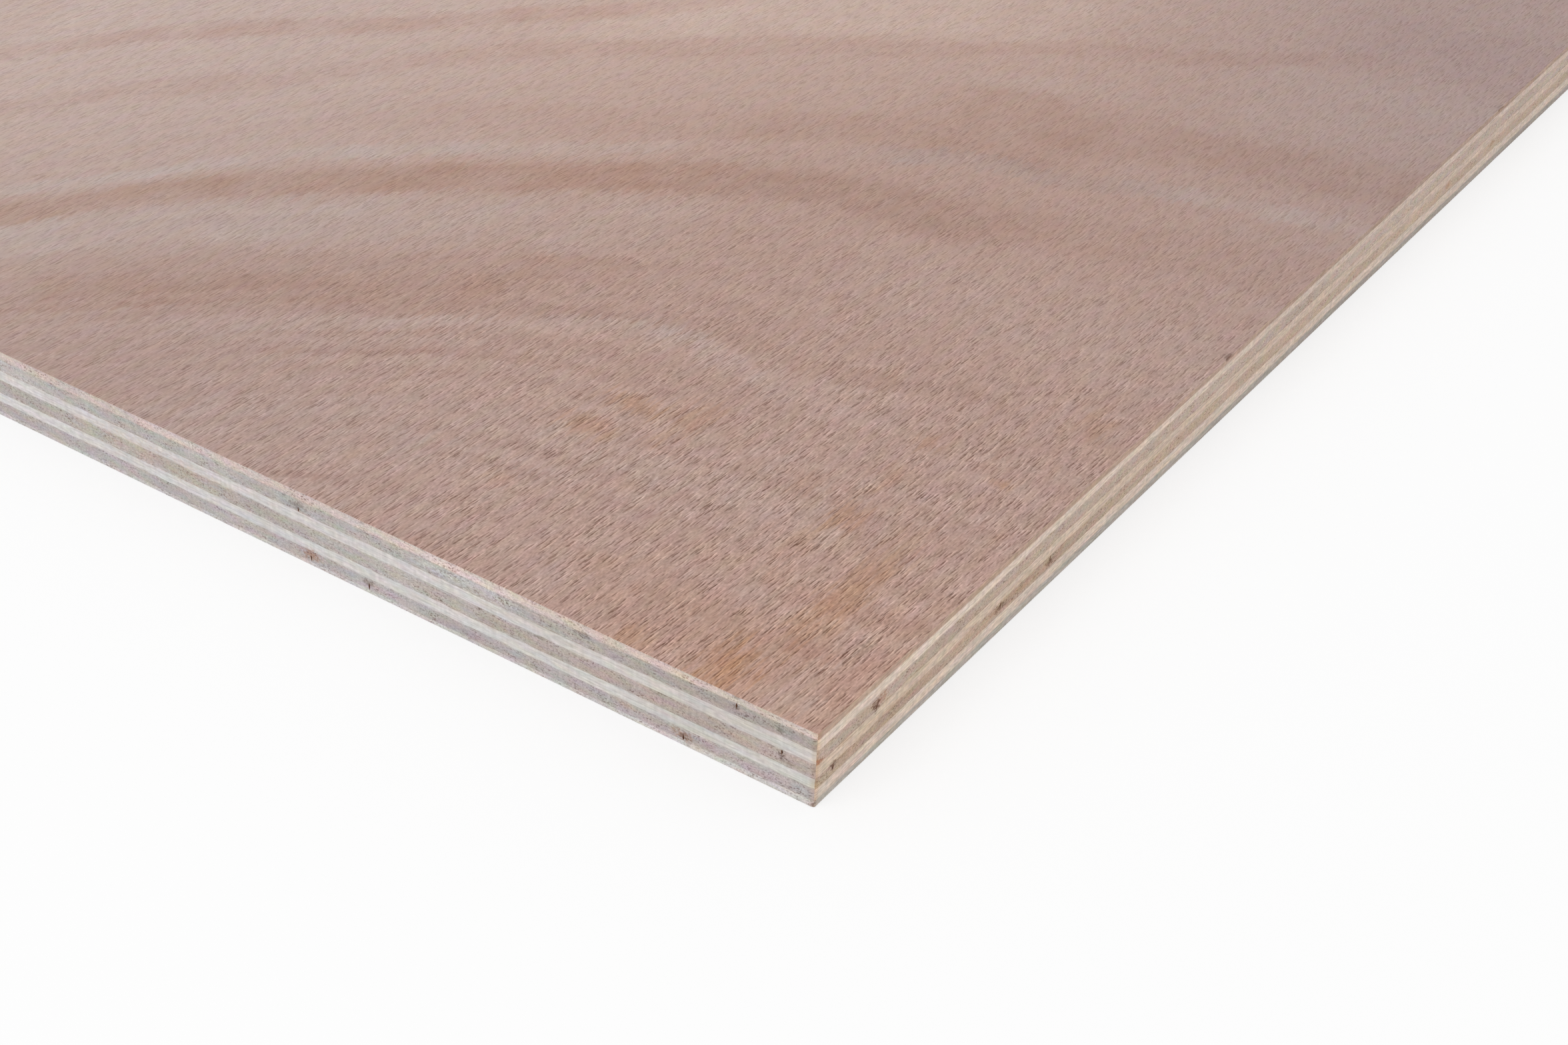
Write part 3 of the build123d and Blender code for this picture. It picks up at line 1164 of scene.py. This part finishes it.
def evenly(strength):
    """The same change of red, green and blue."""
    return (strength, strength, strength)


def pattern_seed(node, edge):
    """A start of its own for the random patterns of each veneer and edge."""
    return 3.0 * stack.index(node) + {"end": 0.0, "side": 50.0}[edge]


def plain_colour(wood, node, edge, run):
    """The colour of a veneer's sawn wood, with the painted light of its end or side, before any
    marks.
    """
    by_corner, further = (end_wood_with_cool_light if edge == "end" else side_wood_with_warm_light)[node]
    return wood.blend(wood.ramp(run, *further_along[edge]), by_corner, further)


def smeared_colour(wood, node, edge, run, share):
    """A veneer's colour, with some of its neighbours' beside the glue lines."""
    number = stack.index(node)
    colour = plain_colour(wood, node, edge, run)
    if number > 0:
        above = plain_colour(wood, stack[number - 1], edge, run)
        colour = wood.blend(wood.ramp(share, *smear_above), colour, above)
    if number < len(stack) - 1:
        below = plain_colour(wood, stack[number + 1], edge, run)
        colour = wood.blend(wood.ramp(share, *smear_below), colour, below)
    return colour


def add_fibre_ends(wood, colour, run, here, seed):
    """Adds the grit and the dark dots of fibres cut across, and returns their relief too."""
    crumpled = wood.total(run, wood.push(here, *crumple, seed=seed))
    crumbs = wood.flat(crumpled, wood.z)
    grit = wood.cloud(crumbs, crumb_size, detail=3.0, seed=seed)
    colour = wood.tint(colour, grit, evenly(crumb_strength))
    ends, _ = wood.specks(crumbs, fibre_end_cell, fibre_end_radii, fibre_end_blur, seed=seed)
    ends = wood.times(ends, wood.uneven(here, *fibre_end_patches, seed=seed))
    return wood.tint(colour, ends, fibre_end_change), wood.rest(ends)


def add_fibre_sides(wood, colour, edge, here, seed):
    """Adds the streaks and the fluff of fibres cut along, and returns their relief too."""
    streaks = wood.cloud(here, streak_size, detail=3.0, seed=seed)
    fluff = wood.cloud(here, fluff_size, seed=seed)
    for tone in (streaks, fluff):
        colour = wood.tint(colour, tone, evenly(streak_strength[edge]))
    # The streaks are -1 to 1, and a relief is 0 to 1
    return colour, wood.math("MULTIPLY_ADD", streaks, 0.5, 0.5)


def add_marks(wood, colour, node, edge, here, seed):
    """Adds the listed marks that reach into one veneer."""
    low, high = (in_mm(corner).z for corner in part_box(node))
    ragged = wood.push(here, *mark_ragged, seed=seed + 7.0)
    for middle, reach, kind, strength in edge_marks[edge]:
        if low - reach[1] < middle[1] < high + reach[1]:
            colour = wood.tint(colour, wood.stain(here, ragged, middle, reach, strength), kind)
    return colour


def add_glue(wood, colour, edge, run, here, share, seed):
    """Darkens the wood beside the glue lines, where glue has soaked in."""
    off_middle = wood.math("ABSOLUTE", wood.total(share, -0.5))
    soaked = wood.ramp(wood.cloud(here, soak_size, detail=3.0, seed=seed + 5.0), *soak_fades)
    glue = wood.times(wood.ramp(off_middle, *glue_fades), soaked)
    if edge == "side":
        glue = wood.times(glue, wood.ramp(run, *side_glue_fades))
    return wood.tint(colour, glue, glue_change)


def sawn_wood(node, edge):
    """The finish of one veneer's sawn ends or long sides."""
    wood = Finish(f"{node}_{edge}")
    run = wood.y if edge == "end" else wood.x
    here = wood.flat(run, wood.z)
    seed = pattern_seed(node, edge)
    fibre_ends = shows_fibre_ends(node, edge)
    zone_strength, mottling = fibre_end_look if fibre_ends else fibre_side_look
    share = wood.node("Attribute", {}, attribute_name="height_in_ply").outputs["Fac"]
    colour = smeared_colour(wood, node, edge, run, share)
    zones = wood.cloud(here, zone_size, seed=seed)
    blade = wood.cloud(here, blade_size, seed=seed + 2.0)
    colour = wood.tint(colour, zones, evenly(zone_strength))
    colour = wood.tint(colour, blade, evenly(blade_strength))
    colour = wood.mottle(colour, here, sawn_mottle_size, mottling)
    if node == "face_veneer" and edge == "end":
        colour = wood.tint(colour, wood.ramp(share, *arris_fades), evenly(arris_strength))
    colour = wood.tint(colour, wood.ramp(run, *corner_fades), corner_change)
    if fibre_ends:
        colour, height = add_fibre_ends(wood, colour, run, here, seed)
    else:
        colour, height = add_fibre_sides(wood, colour, edge, here, seed)
    colour = add_marks(wood, colour, node, edge, here, seed)
    colour = add_glue(wood, colour, edge, run, here, share, seed)
    return wood.wear(colour, height, sawn_relief, sawn_roughness)


# %% [markdown]
# ## Dress the pieces
# A piece has three places for finishes, in the order that its faces were sorted in: flat wood,
# ends and sides. The flat wood of an inner veneer is glued in and hidden, and only the depth of
# a core gap shows it, so all of them share one plain brown. It is darker than the sawn wood,
# partly from the glue and partly as painted shade in the depth of the gap.

# %% Dress the pieces
# A dark brown: partly glue, partly painted shade inside the core gaps
inner_brown_with_gap_shade = paint(150, 112, 92)
inner_grain_size = (6.0, 2.0)
inner_strength = 0.2
inner_relief = 0.05
inner_roughness = (0.8, 0.8)


def inner_wood_with_gap_shade():
    wood = Finish("inner_wood_with_gap_shade")
    grain = wood.cloud(wood.flat(wood.x, wood.y), inner_grain_size)
    colour = wood.tint(inner_brown_with_gap_shade, grain, evenly(inner_strength))
    return wood.wear(colour, grain, inner_relief, inner_roughness)


hidden = inner_wood_with_gap_shade()
for node, piece in pieces.items():
    piece.data.materials.append(faces.get(node, hidden))
    piece.data.materials.append(sawn_wood(node, "end"))
    piece.data.materials.append(sawn_wood(node, "side"))
    print(node, "finishes:", [material.name for material in piece.data.materials])
